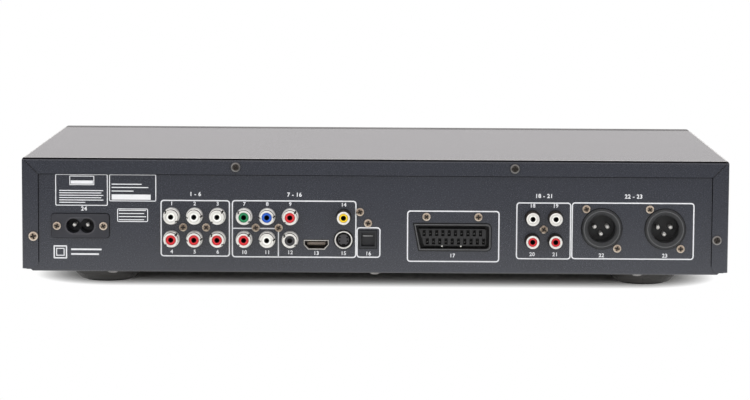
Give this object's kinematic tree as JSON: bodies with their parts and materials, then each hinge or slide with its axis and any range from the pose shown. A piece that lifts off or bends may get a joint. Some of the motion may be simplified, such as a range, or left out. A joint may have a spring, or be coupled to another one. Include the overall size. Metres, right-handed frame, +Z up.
{
  "type": "karaoke machine",
  "caption": "Low karaoke disc player with a loading tray, microphone jacks and knobs on the front and rows of sound and picture sockets on the back.",
  "frame": {"origin": "on the ground, in the middle of the whole player's plan", "axes": "+Z up, the front faces -Y, +X to the right of someone facing the front"},
  "size_m": [0.4334, 0.257, 0.0798],
  "materials": {
    "case_steel": "fine textured powder coat",
    "front_plastic": "satin moulded",
    "window_acrylic": "smoked and polished",
    "foot_plastic": "moulded",
    "foot_rubber": "matt",
    "screw_zinc": "yellow zinc plate",
    "socket_plastic": "moulded",
    "socket_metal": "nickel plate",
    "xlr_metal": "dull zinc",
    "contact_metal": "silver plate",
    "tongue_plastic": "moulded",
    "insert_white": "moulded",
    "insert_red": "moulded",
    "insert_green": "moulded",
    "insert_blue": "moulded",
    "insert_yellow": "moulded",
    "circuit_board": "solder mask",
    "power_iron": "laminated and painted",
    "display_glass": "dark glass face",
    "control_metal": "nickel plate",
    "knob_plastic": "satin moulded",
    "key_plastic": "satin moulded",
    "switch_plastic": "moulded",
    "loader_plastic": "moulded",
    "gear_plastic": "moulded acetal",
    "motor_steel": "plated",
    "deck_plastic": "moulded"
  },
  "bodies": {
    "case": {"base_tray": "case_steel", "rear_panel": "case_steel", "top_cover": "case_steel", "front_panel": "front_plastic", "display_window": "window_acrylic", "feet": "foot_plastic", "foot_pads": "foot_rubber", "case_screws": "screw_zinc", "jack_screws": "screw_zinc", "mains_inlet": "socket_plastic", "surround_jack_block": "socket_plastic", "av_jack_block": "socket_plastic", "karaoke_jack_block": "socket_plastic", "optical_socket": "socket_plastic", "scart_socket": "socket_plastic", "jack_inserts_black": "socket_plastic", "jack_shells": "socket_metal", "hdmi_shell": "socket_metal", "xlr_shells": "xlr_metal", "mains_pins": "contact_metal", "xlr_pins": "contact_metal", "hdmi_tongue": "tongue_plastic", "jack_inserts_white": "insert_white", "jack_inserts_red": "insert_red", "jack_insert_green": "insert_green", "jack_insert_blue": "insert_blue", "jack_insert_yellow": "insert_yellow", "power_board": "circuit_board", "av_board": "circuit_board", "karaoke_board": "circuit_board", "mic_board": "circuit_board", "front_board": "circuit_board", "power_parts": "power_iron", "display_module": "display_glass", "mic_jacks": "control_metal", "mic_pots": "control_metal", "key_switches": "switch_plastic", "loader_frame": "loader_plastic", "clamper_bridge": "loader_plastic", "tray_motor": "motor_steel"},
    "shutter": {"optical_shutter": "socket_plastic"},
    "mic_knob_1": {"knob_mic_1": "knob_plastic"},
    "mic_knob_2": {"knob_mic_2": "knob_plastic"},
    "echo_knob": {"knob_echo": "knob_plastic"},
    "power_key": {"power_button": "key_plastic"},
    "open_key": {"open_close_button": "key_plastic"},
    "play_key": {"play_button": "key_plastic"},
    "stop_key": {"stop_button": "key_plastic"},
    "skip_key": {"skip_rocker": "key_plastic"},
    "tray": {"disc_tray": "loader_plastic", "tray_trim": "front_plastic"},
    "loading_gear": {"tray_gear": "gear_plastic"},
    "drive_pinion": {"motor_pinion": "gear_plastic"},
    "deck": {"traverse_deck": "deck_plastic", "deck_motors": "motor_steel", "guide_rods": "motor_steel"},
    "platter": {"turntable": "gear_plastic"},
    "pickup": {"pickup_sled": "deck_plastic"},
    "sled_gear": {"feed_gear": "gear_plastic"},
    "disc_clamp": {"clamper": "loader_plastic"}
  },
  "joints": [
    {"name": "shutter_swing", "type": "hinge", "parent": "case", "child": "shutter", "pos_m": [0.0043, 0.1153, 0.0341], "axis": [-1, 0, 0], "range_deg": [0, 82], "stiffness_Nm_per_rad": 0.0003},
    {"name": "mic_1_turn", "type": "hinge", "parent": "case", "child": "mic_knob_1", "pos_m": [-0.18049, -0.1145, 0.0562], "axis": [0, -1, 0], "range_deg": [-150, 150]},
    {"name": "mic_2_turn", "type": "hinge", "parent": "case", "child": "mic_knob_2", "pos_m": [-0.1425, -0.1145, 0.0562], "axis": [0, -1, 0], "range_deg": [-150, 150]},
    {"name": "echo_turn", "type": "hinge", "parent": "case", "child": "echo_knob", "pos_m": [-0.10451, -0.1145, 0.0562], "axis": [0, -1, 0], "range_deg": [-150, 150]},
    {"name": "power_press", "type": "slide", "parent": "case", "child": "power_key", "axis": [0, 1, 0], "range_m": [0, 0.0025], "stiffness_N_per_m": 250},
    {"name": "open_press", "type": "slide", "parent": "case", "child": "open_key", "axis": [0, 1, 0], "range_m": [0, 0.001], "stiffness_N_per_m": 250},
    {"name": "play_press", "type": "slide", "parent": "case", "child": "play_key", "axis": [0, 1, 0], "range_m": [0, 0.001], "stiffness_N_per_m": 250},
    {"name": "stop_press", "type": "slide", "parent": "case", "child": "stop_key", "axis": [0, 1, 0], "range_m": [0, 0.001], "stiffness_N_per_m": 250},
    {"name": "skip_rock", "type": "hinge", "parent": "case", "child": "skip_key", "pos_m": [0.17658, -0.1106, 0.0312], "axis": [0, 0, 1], "range_deg": [-2.5, 2.5], "stiffness_Nm_per_rad": 0.05},
    {"name": "tray_slide", "type": "slide", "parent": "case", "child": "tray", "axis": [0, -1, 0], "range_m": [0, 0.136]},
    {"name": "loading_gear_turn", "type": "hinge", "parent": "case", "child": "loading_gear", "pos_m": [-0.042, -0.0805, 0.0458], "axis": [0, 0, 1], "range_deg": [-40, 840]},
    {"name": "drive_pinion_turn", "type": "hinge", "parent": "case", "child": "drive_pinion", "pos_m": [-0.0258, -0.0805, 0.0458], "axis": [0, 0, 1], "range_deg": [-2400, 115]},
    {"name": "deck_lift", "type": "hinge", "parent": "case", "child": "deck", "pos_m": [0, 0.05568, 0.0444], "axis": [-1, 0, 0], "range_deg": [0, 5]},
    {"name": "platter_spin", "type": "hinge", "parent": "deck", "child": "platter", "pos_m": [0, -0.04531, 0.05163], "axis": [0, -0.0872, 0.9962], "continuous": true},
    {"name": "pickup_slide", "type": "slide", "parent": "deck", "child": "pickup", "axis": [0, 0.9962, 0.0872], "range_m": [0, 0.03397]},
    {"name": "sled_gear_turn", "type": "hinge", "parent": "deck", "child": "sled_gear", "pos_m": [-0.0296, -0.00358, 0.04484], "axis": [0, -0.0872, 0.9962], "range_deg": [-70, 540]},
    {"name": "clamp_spin", "type": "hinge", "parent": "case", "child": "disc_clamp", "pos_m": [0, -0.0443, 0.0662], "axis": [0, 0, 1], "continuous": true}
  ],
  "couplings": [
    {"joint": "loading_gear_turn", "follows": "tray_slide", "rad_per_m": 100},
    {"joint": "drive_pinion_turn", "follows": "tray_slide", "rad_per_m": -285.71},
    {"joint": "sled_gear_turn", "follows": "pickup_slide", "rad_per_m": 238.1},
    {"joint": "clamp_spin", "follows": "platter_spin", "ratio": 1}
  ]
}
